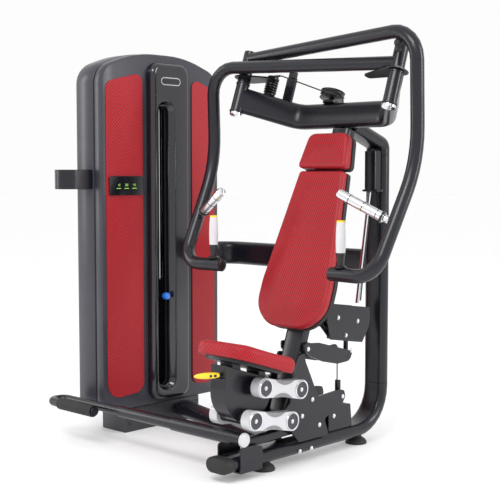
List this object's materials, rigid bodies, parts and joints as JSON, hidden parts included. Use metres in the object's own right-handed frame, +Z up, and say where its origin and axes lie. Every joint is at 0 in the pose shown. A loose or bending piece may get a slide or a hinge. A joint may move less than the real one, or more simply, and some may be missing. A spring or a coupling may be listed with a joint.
{
  "type": "chest press machine",
  "caption": "Selectorised chest press gym machine with crossed converging arms, padded seat and back rest, weight tower and foot bar.",
  "frame": {"origin": "centre of the machine's footprint box, on the floor", "axes": "+Z up, the seated user faces -Y, +X is the user's left, and the weight tower is at -X"},
  "size_m": [1.4606, 0.9928, 1.5492],
  "materials": {
    "frame_paint": "satin dark grey powder coat",
    "cover_plastic": "satin mid grey moulded cover",
    "gloss_black": "glossy near-black",
    "panel_red": "red diagonal weave",
    "vinyl_red": "textured red vinyl",
    "rubber": "matt black rubber",
    "part_black": "black",
    "chrome": "polished",
    "silver": "satin silver",
    "grip": "light grey grip with a yellow cap",
    "yellow": "yellow",
    "blue": "blue",
    "iron": "dark painted iron"
  },
  "bodies": {
    "frame": {"base_rail": "frame_paint", "rear_upright": "frame_paint", "top_neck": "frame_paint", "rail_front_cap": "rubber", "front_foot": "rubber", "rear_foot": "rubber", "cable_box": "frame_paint", "seat_post": "frame_paint", "side_plate_left": "frame_paint", "side_plate_right": "frame_paint", "rear_pulley_bracket": "frame_paint", "upper_cross_beam": "frame_paint", "lower_cross_beam": "frame_paint", "yoke_weldment": "frame_paint", "guide_pulley_stand": "part_black", "tower_base": "cover_plastic", "tower_rear_cover": "cover_plastic", "tower_front_cover": "cover_plastic", "slot_pillar": "gloss_black", "red_panel_left": "panel_red", "red_panel_right": "panel_red", "display": "gloss_black", "cup_holder": "frame_paint", "resting_weights": "iron", "guide_rods": "chrome", "pedal_bracket": "frame_paint", "back_shell": "rubber", "back_pad": "vinyl_red", "head_pad": "vinyl_red"},
    "right_arm_body": {"right_arm": "frame_paint", "right_cam_lever": "part_black", "right_grip_vertical": "grip", "right_grip_oblique": "silver"},
    "left_arm_body": {"left_arm": "frame_paint", "left_cam_lever": "part_black", "left_grip_vertical": "grip", "left_grip_oblique": "silver"},
    "stack_body": {"lifted_weights": "iron"},
    "pin_body": {"selector_pin": "blue"},
    "guide_pulley_body": {"guide_pulley": "part_black"},
    "tower_pulley_body": {"tower_pulley": "part_black"},
    "upper_links_body": {"seat_link_upper_left": "silver", "seat_link_upper_right": "silver"},
    "lower_links_body": {"seat_link_lower_left": "silver", "seat_link_lower_right": "silver"},
    "seat_body": {"seat_carriage": "frame_paint", "seat_board": "part_black", "seat_pad": "vinyl_red"},
    "seat_lever_body": {"seat_lever": "yellow"},
    "pedal_body": {"foot_bar": "frame_paint", "foot_sleeve": "rubber"},
    "pull_lever_body": {"pull_lever": "frame_paint"},
    "carriage_body": {"pulley_carriage": "frame_paint", "damper_rod": "chrome", "front_cable": "part_black", "rear_cable": "part_black"},
    "front_pulley_body": {"carriage_pulley_1": "part_black"},
    "rear_pulley_body": {"carriage_pulley_2": "part_black"},
    "strut_tube_body": {"strut_tube": "part_black"},
    "strut_rod_body": {"strut_rod": "chrome"}
  },
  "joints": [
    {"name": "right_arm_swing", "type": "hinge", "parent": "frame", "child": "right_arm_body", "pos_m": [0.58826, 0.08861, 1.39683], "axis": [0, 0.3338, 0.9426], "range_deg": [0, 40]},
    {"name": "left_arm_swing", "type": "hinge", "parent": "frame", "child": "left_arm_body", "pos_m": [-0.13574, 0.08861, 1.39683], "axis": [0, -0.3338, -0.9426], "range_deg": [0, 40]},
    {"name": "stack_lift", "type": "slide", "parent": "frame", "child": "stack_body", "axis": [0, 0, 1], "range_m": [0, 0.3]},
    {"name": "selector_pin_pull", "type": "slide", "parent": "stack_body", "child": "pin_body", "axis": [1, 0, 0], "range_m": [0, 0.03]},
    {"name": "guide_pulley_spin", "type": "hinge", "parent": "frame", "child": "guide_pulley_body", "pos_m": [0.14826, 0.28352, 1.3451], "axis": [0, 0.3338, 0.9426], "range_deg": [0, 250]},
    {"name": "tower_pulley_spin", "type": "hinge", "parent": "frame", "child": "tower_pulley_body", "pos_m": [-0.62174, 0.05838, 1.466], "axis": [1, 0, 0], "range_deg": [0, 350]},
    {"name": "seat_link_swing", "type": "hinge", "parent": "frame", "child": "upper_links_body", "pos_m": [0.22626, -0.09162, 0.287], "axis": [-1, 0, 0], "range_deg": [-2, 30]},
    {"name": "seat_level_hold", "type": "hinge", "parent": "upper_links_body", "child": "seat_body", "pos_m": [0.22626, -0.27762, 0.318], "axis": [-1, 0, 0], "range_deg": [-30, 2]},
    {"name": "lower_link_swing", "type": "hinge", "parent": "frame", "child": "lower_links_body", "pos_m": [0.22626, -0.14062, 0.181], "axis": [-1, 0, 0], "range_deg": [-2, 30]},
    {"name": "seat_lever_lift", "type": "hinge", "parent": "seat_body", "child": "seat_lever_body", "pos_m": [0.23626, -0.41862, 0.372], "axis": [-0.8829, 0.4695, 0], "range_deg": [0, 15], "stiffness_Nm_per_rad": 2, "springref_deg": -28.65},
    {"name": "pedal_tilt", "type": "hinge", "parent": "frame", "child": "pedal_body", "pos_m": [0.22626, -0.35362, 0.147], "axis": [1, 0, 0], "range_deg": [0, 7]},
    {"name": "pull_lever_swing", "type": "hinge", "parent": "frame", "child": "pull_lever_body", "pos_m": [0.22626, -0.01862, 0.419], "axis": [-1, 0, 0], "range_deg": [0, 7], "stiffness_Nm_per_rad": 80, "springref_deg": -45.84},
    {"name": "carriage_drop", "type": "slide", "parent": "frame", "child": "carriage_body", "axis": [0, -0.1722, -0.9851], "range_m": [0, 0.037]},
    {"name": "front_pulley_spin", "type": "hinge", "parent": "carriage_body", "child": "front_pulley_body", "pos_m": [0.22626, 0.17438, 0.512], "axis": [1, 0, 0], "range_deg": [0, 330]},
    {"name": "rear_pulley_spin", "type": "hinge", "parent": "carriage_body", "child": "rear_pulley_body", "pos_m": [0.22626, 0.29138, 0.488], "axis": [1, 0, 0], "range_deg": [0, 330]},
    {"name": "strut_swing", "type": "hinge", "parent": "frame", "child": "strut_tube_body", "pos_m": [0.25126, 0.19838, 0.206], "axis": [1, 0, 0], "range_deg": [0, 7]},
    {"name": "strut_slide", "type": "slide", "parent": "strut_tube_body", "child": "strut_rod_body", "axis": [0, 0, -1], "range_m": [0, 0.03]}
  ],
  "couplings": [
    {"joint": "left_arm_swing", "follows": "right_arm_swing", "ratio": 1},
    {"joint": "stack_lift", "follows": "right_arm_swing", "m_per_rad": 0.4},
    {"joint": "guide_pulley_spin", "follows": "right_arm_swing", "ratio": 6},
    {"joint": "tower_pulley_spin", "follows": "right_arm_swing", "ratio": 8},
    {"joint": "front_pulley_spin", "follows": "right_arm_swing", "ratio": 8},
    {"joint": "rear_pulley_spin", "follows": "right_arm_swing", "ratio": 8},
    {"joint": "seat_level_hold", "follows": "seat_link_swing", "ratio": -1},
    {"joint": "lower_link_swing", "follows": "seat_link_swing", "ratio": 1},
    {"joint": "pull_lever_swing", "follows": "pedal_tilt", "ratio": 1},
    {"joint": "carriage_drop", "follows": "pedal_tilt", "m_per_rad": 0.2942},
    {"joint": "strut_swing", "follows": "pedal_tilt", "ratio": 0.85},
    {"joint": "strut_slide", "follows": "pedal_tilt", "m_per_rad": 0.225}
  ]
}
